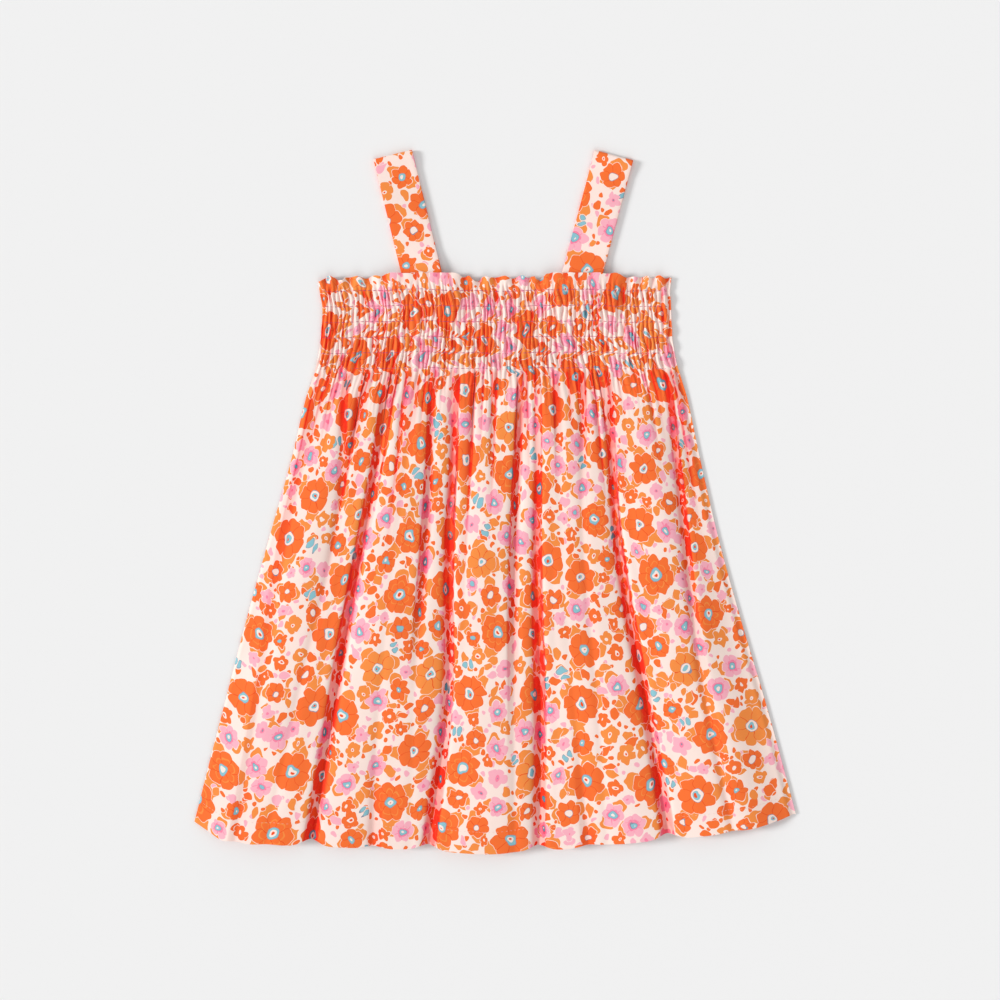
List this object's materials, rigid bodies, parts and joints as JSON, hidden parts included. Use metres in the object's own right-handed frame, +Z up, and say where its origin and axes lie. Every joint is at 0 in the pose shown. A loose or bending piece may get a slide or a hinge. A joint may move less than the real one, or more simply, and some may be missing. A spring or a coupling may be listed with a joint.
{
  "type": "toddler's sundress laid flat",
  "caption": "Toddler's sundress laid flat: shirred bodice with a frilled top edge, gathered skirt cut in one with it, and two folded shoulder straps",
  "frame": {"origin": "on the surface that the dress lies on, under the middle of its outline", "axes": "X across the dress, +Y from hem to straps, +Z up from the surface"},
  "size_m": [0.4099, 0.4796, 0.0075],
  "materials": {
    "printed_cotton": "matt plain-weave cotton with a floral print"
  },
  "bodies": {
    "root": {"front_panel": "printed_cotton", "back_panel": "printed_cotton", "strap_left": "printed_cotton", "strap_right": "printed_cotton"}
  },
  "joints": []
}
